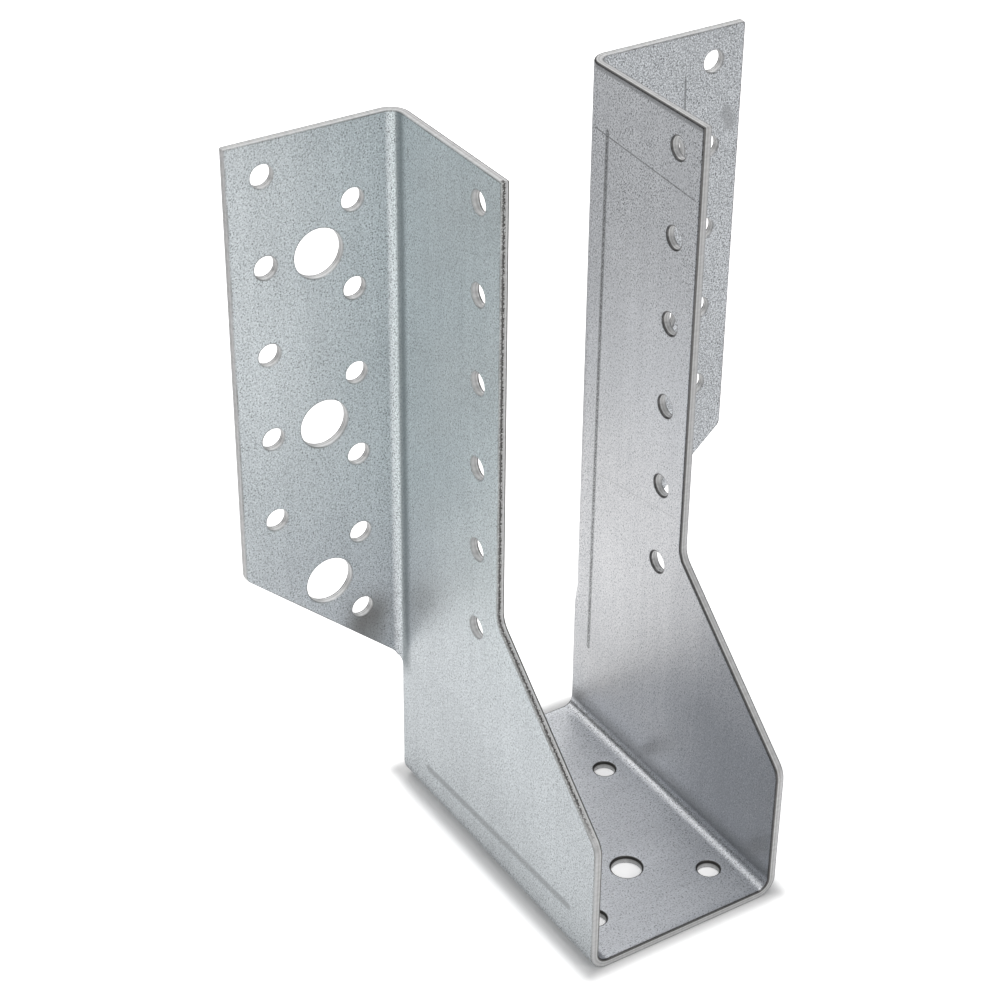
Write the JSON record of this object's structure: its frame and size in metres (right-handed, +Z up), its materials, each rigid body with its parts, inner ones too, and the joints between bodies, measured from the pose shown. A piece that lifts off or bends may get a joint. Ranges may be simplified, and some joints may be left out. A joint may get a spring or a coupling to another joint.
{
  "type": "joist hanger",
  "caption": "Face-fix joist hanger folded from one galvanised steel sheet: two drilled cheeks and a seat hold a joist end, two drilled flanges fix to the beam.",
  "frame": {"origin": "middle of the outer box in X and Y, on the underside of the seat", "axes": "+Z up along the cheeks, +Y towards the header beam, so the flanges' back faces look along +Y and the joist comes in from -Y; X across the hanger"},
  "size_m": [0.125, 0.08, 0.1695],
  "materials": {
    "galvanised_sheet": "satin zinc coating with a fine mottled grain"
  },
  "bodies": {
    "root": {"joist_hanger": "galvanised_sheet"}
  },
  "joints": []
}
